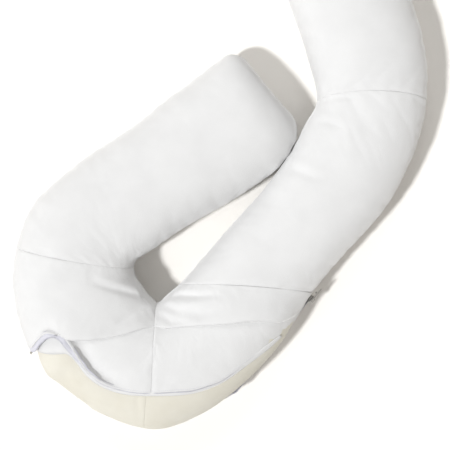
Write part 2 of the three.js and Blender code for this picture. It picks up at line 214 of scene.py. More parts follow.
# Distance from points to a line in plan, positive on its left, and the share along it
def lineDistance(line, xy):
    line = np.array(line, float)
    lengths = np.linalg.norm(np.diff(line, axis=0), axis=1)
    before = np.concatenate([[0], np.cumsum(lengths)])
    nearest = np.full(xy.shape[:-1], 1e9)
    sign, share = np.ones_like(nearest), np.zeros_like(nearest)
    for k in range(len(line) - 1):
        a, ab = line[k], line[k + 1] - line[k]
        t = np.clip(((xy - a) @ ab) / (ab @ ab), 0, 1)
        point = a + t[..., None] * ab
        delta = xy - point
        d = np.linalg.norm(delta, axis=-1)
        closer = d < nearest
        nearest = np.where(closer, d, nearest)
        side = np.where(ab[0] * delta[..., 1] - ab[1] * delta[..., 0] < 0, -1.0, 1.0)
        sign = np.where(closer, side, sign)
        share = np.where(closer, (before[k] + t * lengths[k]) / before[-1], share)
    return nearest * sign, share


# Smooth noise from -1 to 1 at places given in millimetres
def noiseAt(points, size, seed):
    flat = points.reshape(-1, points.shape[-1]) / size
    values = [noise.noise(Vector((p[0] + seed, p[1], p[2]))) for p in flat]
    return np.array(values).reshape(points.shape[:-1])


def noiseAlong(distance, size, seed):
    table = np.arange(-2, 900)
    values = np.array([noise.noise(Vector((t * 0.25, seed, 0.5))) for t in table])
    return np.interp(distance / size * 4, table, values) * 1.6


# The edge of the drawn-back cover in plan, in millimetres from the bend's inner corner
zipEdge = [
    (-264, -84), (-248, -87), (-233, -71), (-221, -60), (-208, -54), (-194, -54), (-180, -61),
    (-164, -80), (-148, -106), (-132, -130), (-110, -148), (-86, -160), (-54, -168), (-28, -171),
    (2, -171), (36, -169), (70, -167), (100, -159), (126, -150), (154, -132), (182, -112),
    (204, -98), (224, -82), (246, -64), (264, -49), (278, -34), (294, -11), (311, 17),
]


# Folds of the drawn-back cover, lines in plan in millimetres from the bend's inner corner
mainFold = {
    "line": [
        (-214, -60), (-202, -54), (-186, -50), (-156, -54), (-126, -56), (-94, -54), (-54, -48),
        (-22, -38), (-2, -34), (20, -36), (54, -30), (96, -24), (138, -20), (180, -16),
        (214, -18), (236, -24), (278, -20), (296, -16),
    ],
    "wall": 4,
    "bulge": 9,
    "bulgeAt": 8,
    "bulgeWidth": 22,
    "valley": 7,
    "valleyWidth": 13,
    "overlap": 20,
    "overlapReach": 20,
}
creases = [
    {"line": [(60, -40), (110, -32), (166, -24)], "depth": -2.5, "width": 6},
    {"line": [(-124, 44), (-84, 32), (-56, 24), (-12, 10)], "depth": 5, "width": 7},
    {"line": [(-4, -2), (-34, -14), (-78, -36), (-110, -44)], "depth": 5, "width": 8},
    {"line": [(4, -2), (44, -9), (88, -7), (136, 2)], "depth": 5.5, "width": 7},
    {"line": [(14, 10), (46, 18), (84, 18), (118, 20)], "depth": 4, "width": 6},
    {"line": [(0, -14), (30, -22), (70, -20)], "depth": 4, "width": 6},
    {"line": [(2, -148), (40, -154), (74, -154)], "depth": 2, "width": 9},
    {"line": [(310, 360), (336, 358), (362, 346)], "depth": 3, "width": 8},
    {"line": [(246, 274), (274, 264), (308, 250), (332, 248)], "depth": 3, "width": 9},
    {"line": [(320, 396), (352, 406), (394, 406)], "depth": 3, "width": 6},
]
# The opened edge stands up in a small arch at the zip's left end, with a hollow behind it
arch = {
    "line": zipEdge[2:13],
    "lift": 11,
    "liftWidth": 7,
    "hollow": 5,
    "hollowAt": 19,
    "hollowWidth": 11,
}
casingCreases = [
    {"line": [(-180, -126), (-172, -150), (-160, -172)], "depth": 2, "width": 7},
    {"line": [(-34, -170), (-36, -196), (-32, -222)], "depth": 1.5, "width": 5},
]


# A panel of cloth as a net of points, with its seams at the edges of the net
panelShape = {
    "grooveDepth": 0.6,
    "grooveWidth": 2.2,
    "puckerHeight": 0.8,
    "puckerReach": 17,
    "puckerSize": 23,
    "softHeight": 2.2,
    "softSize": 95,
    "nominalGirth": 330,
    "casingStrength": 0.4,
}


def lengthsAlong(points, axis):
    steps = np.linalg.norm(np.diff(points, axis=axis), axis=-1)
    zero = np.zeros_like(np.take(steps, [0], axis=axis))
    return np.concatenate([zero, np.cumsum(steps, axis=axis)], axis=axis)


def outwardNormals(points):
    du = np.gradient(points, axis=0)
    dv = np.gradient(points, axis=1)
    normal = np.cross(du, dv)
    normal /= np.maximum(np.linalg.norm(normal, axis=-1, keepdims=True), 1e-9)
    centre = points.mean(axis=(1), keepdims=True).copy()
    centre[..., 2] = tube["sideHeight"]
    if ((points - centre) * normal).sum() < 0:
        normal = -normal
    return normal


def rowPlaces(first, last, spacing):
    fine = np.linspace(first, last, 2000)
    middle = (outerEdge(fine) * 0.62 + alongCurve(tube["inner"], fine) * 0.38)
    length = np.concatenate([[0], np.cumsum(np.linalg.norm(np.diff(middle, axis=0), axis=1))])
    ends = np.minimum(fine, lastPlace - fine)
    length = length + np.where(first == 0, 30 * np.minimum(fine, 1), 0)
    if last == lastPlace:
        length = length + 30 * (1 - np.minimum(ends, 1))
    count = int(length[-1] / spacing)
    wanted = beside(np.linspace(0, length[-1], count + 1))
    return np.interp(wanted, length, fine)


# Adds two close rows beside each end, where a seam's groove needs them
def beside(values):
    a, b = values[0], values[-1]
    return np.concatenate([[a, a + 0.8, a + 1.9], values[1:-1], [b - 1.9, b - 0.8, b]])


# The seams across the tube aren't quite straight: over the crown they bow along it
seamBows = {6: 7, 15: 9, 20: 16}
bowReach = 55
# Where the cushion is held in beside the slider: places along it, and angles round it
sliderClearance = {"from": (12.5, 13), "below": (-45, -18), "above": (2, -6), "inset": 1.6}


def bowSeams(base, place, angle, first, last):
    out = base.copy()
    u = lengthsAlong(base, 0)
    crown = np.clip(np.sin(np.radians(angle)), 0, 1) ** 1.5
    for seam, away in ((first, u), (last, u[-1:] - u)):
        if seam in seamBows:
            at = np.array([seam], float)
            across = (outerEdge(at) - alongCurve(tube["inner"], at))[0]
            across /= np.linalg.norm(across)
            onward = np.array([-across[1], across[0]])
            bow = seamBows[seam] * crown * np.exp(-((away / bowReach) ** 2))
            out[..., :2] += bow[..., None] * onward
    return out


def panelPoints(first, last, top, inset, spacing, start=None, cover=True):
    place = rowPlaces(first, last, spacing)
    girth = panelShape["nominalGirth"]
    share = beside(np.linspace(0, girth, int(girth / spacing) + 1))[None, :] / girth
    begin = (start(place) if start else np.zeros_like(place))[:, None]
    angle = begin + (180 - begin) * share
    if not top:
        angle = -angle
    if start:
        base = looseSkin(place, angle, inset)
    else:
        base = skinPoints(place, angle, inset, 0 if cover else 1)
    if not cover:
        # the cushion keeps clear of the slider's way along the zip
        c = sliderClearance
        slim = smooth(*c["below"], angle) * smooth(*c["above"], angle)
        slim = (smooth(*c["from"], place)[:, None] * slim)[..., None]
        base = base * (1 - slim) + skinPoints(place, angle, inset + c["inset"], 0, True) * slim
    if cover and top:
        base = bowSeams(base, place, angle, first, last)
    normal = outwardNormals(base)
    u, v = lengthsAlong(base, 0), lengthsAlong(base, 1)
    s = panelShape
    strength = 1.0 if cover else s["casingStrength"]
    # each seam pulls the cloth in, and gathers it into small puckers beside it
    points = base.copy()
    push = np.zeros(base.shape[:2])
    seams = [
        (u, angle * 1.9 + 400, first),
        (u[-1:] - u, angle * 1.9 + 400, last),
        (v[:, -1:] - v, u[:, -1:] * np.ones_like(u) + 3000 + first * 40, 40),
    ]
    if not start:
        seams.append((v, u[:, :1] * np.ones_like(u) + 5000 + first * 40, 60))
    for distance, coordinate, seed in seams:
        push -= s["grooveDepth"] * strength * np.exp(-((distance / s["grooveWidth"]) ** 1.4))
        reach = distance / s["puckerReach"]
        gather = noiseAlong(coordinate % 3000, s["puckerSize"], seed * 7.3 + 0.2)
        push += s["puckerHeight"] * strength * reach * np.exp(1 - reach) * gather
    push += s["softHeight"] * strength * noiseAt(base, s["softSize"], 3.1)
    onFloor = smooth(12, 2, base[..., 2])
    push *= 1 - 0.85 * onFloor
    points += normal * push[..., None]
    if top and not cover:
        points = pressCasing(points)
    return points, u, v, place


def creaseCloth(points, lines):
    lift = np.zeros(points.shape[:2])
    for crease in lines:
        distance, share = lineDistance(crease["line"], points[..., :2])
        ends = np.clip(np.sin(np.pi * np.clip(share, 0.02, 0.98)), 0, 1) ** 0.6
        w = crease["width"]
        groove = np.exp(-((distance / w) ** 2))
        ridge = np.exp(-(((distance - 1.8 * w) / (1.2 * w)) ** 2))
        lift += ends * crease["depth"] * (0.45 * ridge - groove)
    high = smooth(80, 110, points[..., 2])
    points = points.copy()
    points[..., 2] += lift * high
    return points


def foldCover(points):
    points = creaseCloth(points, creases)
    f = mainFold
    distance, share = lineDistance(f["line"], points[..., :2])
    ends = smooth(0, 0.1, share) * smooth(1, 0.9, share) * (np.abs(distance) < 90)
    ends = ends * (0.75 + 0.25 * np.cos(share * 9))
    upper = smooth(-f["wall"], f["wall"], distance)
    beyondBulge = np.clip(distance - f["bulgeAt"], 0, None)
    bulge = f["bulge"] * np.exp(-((beyondBulge / f["bulgeWidth"]) ** 2))
    valley = f["valley"] * np.exp(-((np.clip(-distance, 0, None) / f["valleyWidth"]) ** 2))
    lift = (bulge * upper - valley * (1 - upper)) * ends
    past = distance - f["wall"] / 2
    reach = np.where(past > 0, f["overlapReach"], f["wall"])
    over = f["overlap"] * ends * np.exp(-((past / reach) ** 2))
    a = arch
    distance, share = lineDistance(a["line"], points[..., :2])
    ends = smooth(0, 0.1, share) * smooth(1, 0.7, share)
    behind = np.clip(distance, 0, None)
    stand = a["lift"] * np.exp(-((distance / a["liftWidth"]) ** 2))
    leg = smooth(0.3, 0.48, share)
    stand -= leg * a["hollow"] * np.exp(-(((behind - a["hollowAt"]) / a["hollowWidth"]) ** 2))
    lift += stand * ends
    high = smooth(75, 105, points[..., 2])
    out = points.copy()
    out[..., 2] += lift * high
    out[..., 1] -= over * high
    return out


# The casing gives way wherever a fold presses the cover down on it
def pressCasing(points):
    points = creaseCloth(points, casingCreases)
    folded = foldCover(points)
    down = np.clip(folded[..., 2] - points[..., 2], None, 0)
    inside, _ = lineDistance(zipEdge, points[..., :2])
    points[..., 2] += down * smooth(-6, 4, inside)
    return points


# A smooth line through plan points, with a point every few millimetres
def evenLine(line, spacing):
    places = np.linspace(0, len(line) - 1, 40 * len(line))
    fine = alongCurve(line, places)
    length = np.concatenate([[0], np.cumsum(np.linalg.norm(np.diff(fine, axis=0), axis=1))])
    wanted = np.arange(0, length[-1], spacing)
    return np.stack([np.interp(wanted, length, fine[:, k]) for k in range(2)], axis=1)


# The surface of a net, to lay other pieces on
def surfaceOf(nets):
    points, faces = [], []
    for net in nets:
        rows, columns = net.shape[:2]
        start = len(points)
        points += [tuple(p) for p in net.reshape(-1, 3)]
        for r in range(rows - 1):
            for c in range(columns - 1):
                k = start + r * columns + c
                faces.append((k, k + 1, k + columns + 1, k + columns))
    return BVHTree.FromPolygons(points, faces)


def layOn(surface, xy):
    places, normals = [], []
    for x, y in xy:
        hit, normal, _, _ = surface.ray_cast(Vector((x, y, 400)), Vector((0, 0, -1)))
        if hit is None:
            hit, normal, _, _ = surface.find_nearest(Vector((x, y, 80)))
        if normal.z < 0:
            normal = -normal
        places.append(hit)
        normals.append(normal)
    return np.array(places), np.array(normals)


def blurred(values, times):
    for _ in range(times):
        inner = (values[:-2] + 2 * values[1:-1] + values[2:]) / 4
        values = np.concatenate([values[:1], inner, values[-1:]])
    return values


# A strip beside a line on a surface: the profile gives distance outwards and height above it
def stripPoints(path, normal, profile):
    along = np.gradient(path, axis=0)
    along /= np.linalg.norm(along, axis=1, keepdims=True)
    outward = np.cross(along, normal)
    outward /= np.linalg.norm(outward, axis=1, keepdims=True)
    up = np.cross(outward, along)
    net = [path + outward * reach + up * height for reach, height in profile]
    return np.stack(net, axis=1), along, outward, up


# One mesh from a net of points, started from a grid
def clothPiece(name, points, u, v, thickness):
    rows, columns = points.shape[:2]
    bpy.ops.mesh.primitive_grid_add(x_subdivisions=columns - 1, y_subdivisions=rows - 1, size=1)
    piece = bpy.context.object
    piece.name = name
    mesh = piece.data
    co = np.zeros(len(mesh.vertices) * 3)
    mesh.vertices.foreach_get("co", co)
    co = co.reshape(-1, 3)
    column = np.rint((co[:, 0] + 0.5) * (columns - 1)).astype(int)
    row = np.rint((co[:, 1] + 0.5) * (rows - 1)).astype(int)
    placed = points[row, column] / 1000
    placed[:, 0] += tube["bendCorner"][0]
    placed[:, 1] += tube["bendCorner"][1]
    mesh.vertices.foreach_set("co", placed.astype(np.float32).ravel())
    corner = np.zeros(len(mesh.loops), int)
    mesh.loops.foreach_get("vertex_index", corner)
    uv = np.stack([u[row, column], v[row, column]], axis=1)[corner] / 1000
    mesh.uv_layers[0].data.foreach_set("uv", uv.astype(np.float32).ravel())
    mesh.update()
    normals = outwardNormals(points)[row, column]
    faceNormals = np.zeros(len(mesh.polygons) * 3)
    mesh.polygons.foreach_get("normal", faceNormals)
    firstCorner = np.array([p.vertices[0] for p in mesh.polygons])
    if (faceNormals.reshape(-1, 3) * normals[firstCorner]).sum() < 0:
        mesh.flip_normals()
    bpy.ops.object.shade_smooth()
    if thickness:
        solidify = piece.modifiers.new("thickness", "SOLIDIFY")
        solidify.thickness = thickness / 1000
        solidify.offset = -1
        solidify.use_even_offset = False
        bpy.ops.object.modifier_apply(modifier=solidify.name)
    piece.select_set(False)
    return piece


# Each top panel of the cover is filled by a short cloth simulation with its seams held. The cloth
# is cut a little long, so it gathers. A part of the gathers and a little of the swelling are kept.
stuffing = {
    "pressure": 2.5, "spare": 0.016, "frames": 16, "quality": 4, "mass": 0.2,
    "tension": 12, "bending": 0.05, "swell": 0.25, "blurSteps": 60, "most": 4,
    "gathers": 0.3, "gathersAtSeam": 0.6, "seamReach": 45,
}


def blurNet(values, times):
    for _ in range(times):
        padded = np.pad(values, 1, mode="edge")
        values = (
            padded[:-2, 1:-1] + padded[2:, 1:-1] + padded[1:-1, :-2] + padded[1:-1, 2:] + 4 * values
        ) / 8
    return values


def stuffPanel(points):
    s = stuffing
    rows, columns = points.shape[:2]
    index = np.arange(rows * columns).reshape(rows, columns)
    quads = np.stack([index[:-1, :-1], index[:-1, 1:], index[1:, 1:], index[1:, :-1]], axis=-1)
    normal = outwardNormals(points)
    firstNormal = np.cross(points[0, 1] - points[0, 0], points[1, 0] - points[0, 0])
    if (firstNormal * normal[0, 0]).sum() < 0:
        quads = quads[..., ::-1]
    mesh = bpy.data.meshes.new("panel")
    mesh.from_pydata((points.reshape(-1, 3) / 1000).tolist(), [], quads.reshape(-1, 4).tolist())
    piece = bpy.data.objects.new("panel", mesh)
    bpy.context.collection.objects.link(piece)
    border = np.zeros((rows, columns), bool)
    border[:2], border[-2:], border[:, :2], border[:, -2:] = True, True, True, True
    group = piece.vertex_groups.new(name="seams")
    group.add(index[border].tolist(), 1.0, "REPLACE")
    cloth = piece.modifiers.new("cloth", "CLOTH")
    cloth.settings.quality = s["quality"]
    cloth.settings.mass = s["mass"]
    cloth.settings.tension_stiffness = cloth.settings.compression_stiffness = s["tension"]
    cloth.settings.shear_stiffness = s["tension"] / 3
    cloth.settings.bending_stiffness = s["bending"]
    cloth.settings.vertex_group_mass = "seams"
    cloth.settings.use_pressure = True
    cloth.settings.uniform_pressure_force = s["pressure"]
    cloth.settings.shrink_min = -s["spare"]
    cloth.settings.effector_weights.gravity = 0
    cloth.collision_settings.use_collision = False
    cloth.point_cache.frame_end = s["frames"]
    for frameNumber in range(1, s["frames"] + 1):
        bpy.context.scene.frame_set(frameNumber)
    settled = piece.evaluated_get(bpy.context.evaluated_depsgraph_get())
    co = np.zeros(rows * columns * 3)
    settled.data.vertices.foreach_get("co", co)
    bpy.context.scene.frame_set(1)
    bpy.data.objects.remove(piece)
    rise = ((co.reshape(rows, columns, 3) * 1000 - points) * normal).sum(axis=-1)
    wide = blurNet(rise, s["blurSteps"])
    most = max(wide.max(), 0.1)
    u, v = lengthsAlong(points, 0), lengthsAlong(points, 1)
    away = np.minimum(np.minimum(u, u[-1:] - u), np.minimum(v, v[:, -1:] - v))
    atSeam = np.exp(-((away / s["seamReach"]) ** 2))
    kept = s["gathers"] + (s["gathersAtSeam"] - s["gathers"]) * atSeam
    fine = np.clip((rise - wide) * kept, -s["most"], s["most"])
    push = s["swell"] * np.clip(wide / most, 0, 1) + fine
    push *= 1 - smooth(14, 4, points[..., 2])
    return points + normal * push[..., None]


# Colours are sRGB hex values, turned linear here
def linearColour(hexColour):
    parts = [int(hexColour[k : k + 2], 16) / 255 for k in (1, 3, 5)]
    return [c / 12.92 if c <= 0.04045 else ((c + 0.055) / 1.055) ** 2.4 for c in parts] + [1]


def addNode(material, kind, settings=None, links=None):
    item = material.node_tree.nodes.new(kind)
    for name, value in (settings or {}).items():
        if name in item.inputs:
            item.inputs[name].default_value = value
        else:
            setattr(item, name, value)
    for name, source in (links or {}).items():
        material.node_tree.links.new(source, item.inputs[name])
    return item


def newMaterial(name, **settings):
    material = bpy.data.materials.new(name)
    material.use_nodes = True
    shader = material.node_tree.nodes["Principled BSDF"]
    for key, value in settings.items():
        shader.inputs[key].default_value = value
    return material, shader


def tint(material, factor, low, high, span=(0.3, 0.7)):
    ramp = addNode(material, "ShaderNodeValToRGB", links={"Fac": factor})
    ramp.color_ramp.elements[0].color = linearColour(low)
    ramp.color_ramp.elements[1].color = linearColour(high)
    ramp.color_ramp.elements[0].position, ramp.color_ramp.elements[1].position = span
    return ramp.outputs["Color"]


# Joins the pattern's colour and relief to the shader
def dressed(material, shader, relief, height, colour=None):
    links = material.node_tree.links
    if colour is not None:
        links.new(colour, shader.inputs["Base Color"])
    bump = addNode(material, "ShaderNodeBump", relief, {"Height": height})
    links.new(bump.outputs["Normal"], shader.inputs["Normal"])
    return material


# Brushed polyester velour: short soft pile, no gloss, paler where the pile lies over
def makeVelour():
    material, shader = newMaterial("brushedVelour", Roughness=0.95)
    shader.inputs["Sheen Weight"].default_value = 0.6
    shader.inputs["Sheen Roughness"].default_value = 0.5
    shader.inputs["Specular IOR Level"].default_value = 0.15
    place = addNode(material, "ShaderNodeTexCoord").outputs["Object"]
    brushed = addNode(material, "ShaderNodeTexNoise", {"Scale": 22, "Detail": 3}, {"Vector": place})
    pile = addNode(material, "ShaderNodeTexNoise", {"Scale": 520, "Detail": 2}, {"Vector": place})
    colour = tint(material, brushed.outputs["Fac"], "#dfdfdf", "#e3e3e3")
    relief = {"Strength": 0.5, "Distance": 0.0006}
    return dressed(material, shader, relief, pile.outputs["Fac"], colour)


# Unbleached cotton cambric: a fine plain weave, slightly creased
def makeCotton():
    material, shader = newMaterial("cottonCambric", Roughness=0.85)
    shader.inputs["Sheen Weight"].default_value = 0.1
    shader.inputs["Specular IOR Level"].default_value = 0.2
    uv = addNode(material, "ShaderNodeUVMap", {"uv_map": "UVMap"}).outputs["UV"]
    place = addNode(material, "ShaderNodeTexCoord").outputs["Object"]
    # threads 1.2 mm apart, twice as coarse as real so that they show
    thread = {"Scale": 260}
    across, down = (dict(thread, bands_direction=axis) for axis in "XY")
    warp = addNode(material, "ShaderNodeTexWave", across, {"Vector": uv})
    weft = addNode(material, "ShaderNodeTexWave", down, {"Vector": uv})
    weave = addNode(material, "ShaderNodeMath", {"operation": "MULTIPLY"})
    material.node_tree.links.new(warp.outputs["Fac"], weave.inputs[0])
    material.node_tree.links.new(weft.outputs["Fac"], weave.inputs[1])
    cloud = addNode(material, "ShaderNodeTexNoise", {"Scale": 16, "Detail": 3}, {"Vector": place})
    colour = tint(material, cloud.outputs["Fac"], "#dcd8cb", "#e2dfd4")
    relief = {"Strength": 0.35, "Distance": 0.0003}
    return dressed(material, shader, relief, weave.outputs[0], colour)


# Woven polyester zip tape: fine ribs along its length, a little sheen
def makeTape():
    material, shader = newMaterial("polyesterTape", Roughness=0.6)
    uv = addNode(material, "ShaderNodeUVMap", {"uv_map": "UVMap"}).outputs["UV"]
    rib = {"Scale": 210, "bands_direction": "Y"}
    ribs = addNode(material, "ShaderNodeTexWave", rib, {"Vector": uv})
    colour = tint(material, ribs.outputs["Fac"], "#cfcfd8", "#dcdce4", (0.1, 0.9))
    relief = {"Strength": 0.5, "Distance": 0.0004}
    return dressed(material, shader, relief, ribs.outputs["Fac"], colour)


# Nickel-plated zinc, die cast and tumbled: bright with a soft grain
def makeNickel():
    material, shader = newMaterial("nickelPlate", Metallic=1.0, Roughness=0.3)
    shader.inputs["Base Color"].default_value = linearColour("#b9b7b2")
    place = addNode(material, "ShaderNodeTexCoord").outputs["Object"]
    grain = addNode(material, "ShaderNodeTexNoise", {"Scale": 900, "Detail": 2}, {"Vector": place})
    relief = {"Strength": 0.2, "Distance": 0.0002}
    return dressed(material, shader, relief, grain.outputs["Fac"])


# Loose hollow fibre: white and matted
def makeFibre():
    material, shader = newMaterial("hollowFibre", Roughness=1.0)
    place = addNode(material, "ShaderNodeTexCoord").outputs["Object"]
    tufts = addNode(material, "ShaderNodeTexNoise", {"Scale": 60, "Detail": 6}, {"Vector": place})
    colour = tint(material, tufts.outputs["Fac"], "#e9e9e7", "#fbfbfb")
    relief = {"Strength": 0.6, "Distance": 0.002}
    return dressed(material, shader, relief, tufts.outputs["Fac"], colour)


velour = makeVelour()
cotton = makeCotton()
tapeCloth = makeTape()
nickel = makeNickel()
fibre = makeFibre()
report("materials")

# What each body carries, and the sections that lie beside a seam between two bodies
bodyOf = {
    "hook": "hook_arm",
    "bend_left": "bend",
    "bend_right": "bend",
    "long_arm": "long_arm",
    "head": "head_arm",
}
bends = {
    "hook": {"bodies": ("bend", "hook_arm"), "place": 6, "length": -200},
    "long_arm": {"bodies": ("bend", "long_arm"), "place": 15, "length": 200},
    "head": {"bodies": ("long_arm", "head_arm"), "place": 20, "length": 200},
}


def followArm(piece, section):
    if section not in bends:
        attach(piece, bodyOf.get(section, "bend"))
        return
    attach(piece, bodyOf[section])
    piece.parent = None
    if "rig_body" in piece:
        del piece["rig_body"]
    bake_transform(piece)


def finishCloth(piece, section, node, material):
    piece.data.materials.clear()
    piece.data.materials.append(material)
    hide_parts(node)
    followArm(piece, section)


def moveCloth(piece, move):
    corner = np.array([*tube["bendCorner"], 0])
    co = np.zeros(len(piece.data.vertices) * 3)
    piece.data.vertices.foreach_get("co", co)
    moved = move((co.reshape(-1, 1, 3) - corner) * 1000).reshape(-1, 3) / 1000 + corner
    piece.data.vertices.foreach_set("co", moved.astype(np.float32).ravel())
    piece.data.update()


# Cuts away the part of the cover's top that lies beyond the zip's edge
def cutOpening(piece, edge):
    beyond = [(430, -90), (320, -420), (-320, -420), (-430, -150), (-300, -84)]
    outline = [tuple(p) for p in edge] + beyond
    corner = tube["bendCorner"]
    points = [(x / 1000 + corner[0], y / 1000 + corner[1], 0.05) for x, y in outline]
    mesh = bpy.data.meshes.new("cutter")
    mesh.from_pydata(points, [], [tuple(range(len(points)))])
    cutter = bpy.data.objects.new("cutter", mesh)
    bpy.context.collection.objects.link(cutter)
    bpy.context.view_layer.objects.active = cutter
    bpy.ops.object.mode_set(mode="EDIT")
    bpy.ops.mesh.select_all(action="SELECT")
    bpy.ops.mesh.extrude_region_move(TRANSFORM_OT_translate={"value": (0, 0, 0.15)})
    bpy.ops.mesh.select_all(action="SELECT")
    bpy.ops.mesh.normals_make_consistent(inside=False)
    bpy.ops.object.mode_set(mode="OBJECT")
    bpy.context.view_layer.objects.active = piece
    cut = piece.modifiers.new("opening", "BOOLEAN")
    cut.operation = "DIFFERENCE"
    cut.object = cutter
    bpy.ops.object.modifier_apply(modifier=cut.name)
    bpy.data.objects.remove(cutter)


def rimAngle(place):
    tight = looseRim["tightAngle"] * smooth(*looseRim["opens"], place)
    loose = looseShare(place)
    return tight * (1 - loose) + looseRim["angle"] * loose


edgeLine = evenLine(zipEdge, 2.5)
coverNets, casingNets = [], []
for name, (first, last) in sections.items():
    opened = name.startswith("bend")
    below = rimAngle if opened else None
    net = panelPoints(first, last, True, 0, 2.6 if opened else 4)
    net = (stuffPanel(net[0]), *net[1:])
    piece = clothPiece("coverTop_" + name, *net[:3], 1.6)
    if opened:
        coverNets.append(foldCover(net[0]))
        cutOpening(piece, edgeLine)
    moveCloth(piece, foldCover)
    finishCloth(piece, name, "cover_top_" + name, velour)
    net = panelPoints(first, last, False, 0, 7, below)
    piece = clothPiece("coverUnder_" + name, *net[:3], 1.6)
    finishCloth(piece, name, "cover_under_" + name, velour)
    first, last = casingSections[name]
    net = panelPoints(first, last, True, 5.2, 4 if opened else 12, cover=False)
    if opened:
        casingNets.append(net[0])
    piece = clothPiece("casingTop_" + name, *net[:3], 1.2)
    finishCloth(piece, name, "casing_top_" + name, cotton)
    net = panelPoints(first, last, False, 5.2, 7 if opened else 12, cover=False)
    piece = clothPiece("casingUnder_" + name, *net[:3], 1.2)
    finishCloth(piece, name, "casing_under_" + name, cotton)
    report(name + " panels")

# The upper half of the zip, sewn behind the cover's opened edge
upperZip = {
    "tapeBehind": 6, "tapeBeyond": 0.9, "tapeAtArch": 8.5, "archLength": 150, "archFade": 60,
    "tapeThickness": 0.7, "toothBevel": 0.35, "stitchBevel": 0.12,
    "hemRadius": 0.9, "toothPitch": 1.9, "toothSize": (1.1, 3.0, 1.7),
    "stitchPitch": 3.6, "stitchSize": (2.4, 0.5, 0.4), "stitchFromEdge": 3.5,
}
coverSurface = surfaceOf(coverNets)
casingSurface = surfaceOf(casingNets)


def finishTrim(piece, material, nodes=()):
    piece.data.materials.clear()
    piece.data.materials.append(material)
    if nodes:
        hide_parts(*nodes)
    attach(piece, "bend")


def flatUV(net):
    return lengthsAlong(net, 0), lengthsAlong(net, 1)


# Copies of one small bevelled block set along a path
def blocksAlong(name, size, bevel, path, along, outward, up, pitch):
    bpy.ops.mesh.primitive_cube_add(size=1)
    block = bpy.context.object
    block.scale = [v / 1000 for v in size]
    bpy.ops.object.transform_apply(location=False, rotation=False, scale=True)
    rounding = block.modifiers.new("rounding", "BEVEL")
    rounding.width = bevel / 1000
    rounding.segments = 1
    bpy.ops.object.modifier_apply(modifier=rounding.name)
    shape = np.array([v.co for v in block.data.vertices]) * 1000
    faces = [tuple(p.vertices) for p in block.data.polygons]
    bpy.data.objects.remove(block)
    length = np.concatenate([[0], np.cumsum(np.linalg.norm(np.diff(path, axis=0), axis=1))])
    wanted = np.arange(pitch, length[-1] - pitch, pitch)
    at, a, o, n = (
        np.stack([np.interp(wanted, length, values[:, k]) for k in range(3)], axis=1)
        for values in (path, along, outward, up)
    )
    corner = np.array([*tube["bendCorner"], 0])
    placed = (
        at[:, None, :] + shape[None, :, 0:1] * a[:, None, :]
        + shape[None, :, 1:2] * o[:, None, :] + shape[None, :, 2:3] * n[:, None, :]
    )
    points = placed.reshape(-1, 3) / 1000 + corner
    count = len(shape)
    everyFace = [tuple(k * count + i for i in f) for k in range(len(wanted)) for f in faces]
    mesh = bpy.data.meshes.new(name)
    mesh.from_pydata(points.tolist(), [], everyFace)
    piece = bpy.data.objects.new(name, mesh)
    bpy.context.collection.objects.link(piece)
    bpy.context.view_layer.objects.active = piece
    bpy.ops.object.mode_set(mode="EDIT")
    bpy.ops.mesh.select_all(action="SELECT")
    bpy.ops.mesh.normals_make_consistent(inside=False)
    bpy.ops.object.mode_set(mode="OBJECT")
    return piece


path, normal = layOn(coverSurface, edgeLine)
path, normal = blurred(path, 2), blurred(normal, 12)
z = upperZip
tape = [(-z["tapeBehind"], -2.6), (-2, -2.2), (0, -1.8), (0.3, -1.5), (0.7, -1.6), (1, -2.2)]
run = lengthsAlong(path, 0)
atArch = smooth(z["archLength"] + z["archFade"], z["archLength"], run)
showing = z["tapeBeyond"] + (z["tapeAtArch"] - z["tapeBeyond"]) * atArch
_, along, outward, up = stripPoints(path, normal, tape)
rowsAcross = []
for reach, height in tape:
    sideways = reach if reach <= 0 else reach * showing[:, None]
    rowsAcross.append(path + outward * sideways + up * height)
net = np.stack(rowsAcross, axis=1)
piece = clothPiece("zipUpperTape", net, *flatUV(net), z["tapeThickness"])
finishTrim(piece, tapeCloth, ["zip_upper_tape"])
teethPath = path + outward * (showing[:, None] + 0.6) - up * 2.5
size, bevel, pitch = z["toothSize"], z["toothBevel"], z["toothPitch"]
piece = blocksAlong("zipUpperTeeth", size, bevel, teethPath, along, outward, up, pitch)
finishTrim(piece, tapeCloth, ["zip_upper_teeth"])
turn = np.radians(np.arange(0, 361, 45))
hem = [(z["hemRadius"] * math.sin(t) - 0.4, z["hemRadius"] * 0.8 * math.cos(t) - 0.7) for t in turn]
net, *_ = stripPoints(path, normal, hem)
piece = clothPiece("coverHem", net, *flatUV(net), 0)
finishTrim(piece, velour)
stitchPath = path - outward * z["stitchFromEdge"] + up * 0.15
size, bevel, pitch = z["stitchSize"], z["stitchBevel"], z["stitchPitch"]
piece = blocksAlong("hemStitches", size, bevel, stitchPath, along, outward, up, pitch)
finishTrim(piece, tapeCloth)

# The strip behind the upper teeth: wide under the arch, narrow along the rest
guard = {
    "upper": [(-244, -80), (-230, -64), (-218, -54), (-204, -48), (-190, -50),
              (-172, -62), (-154, -86), (-136, -112), (-122, -132), (-104, -145), (-82, -156),
              (-54, -163), (2, -166), (70, -162), (122, -147), (178, -109), (220, -79), (248, -58)],
    "lower": [(-240, -94), (-222, -97), (-204, -98), (-188, -97),
              (-172, -97), (-154, -114), (-136, -138), (-114, -156), (-88, -168), (-55, -176),
              (2, -178), (72, -174), (128, -155), (184, -117), (224, -87), (250, -64)],
}
upper, lower = evenLine(guard["upper"], 4), evenLine(guard["lower"], 4)
rows = min(len(upper), len(lower))
pick = np.linspace(0, 1, rows)
upper = np.stack([np.interp(pick, np.linspace(0, 1, len(upper)), upper[:, k]) for k in range(2)], 1)
lower = np.stack([np.interp(pick, np.linspace(0, 1, len(lower)), lower[:, k]) for k in range(2)], 1)
layers = []
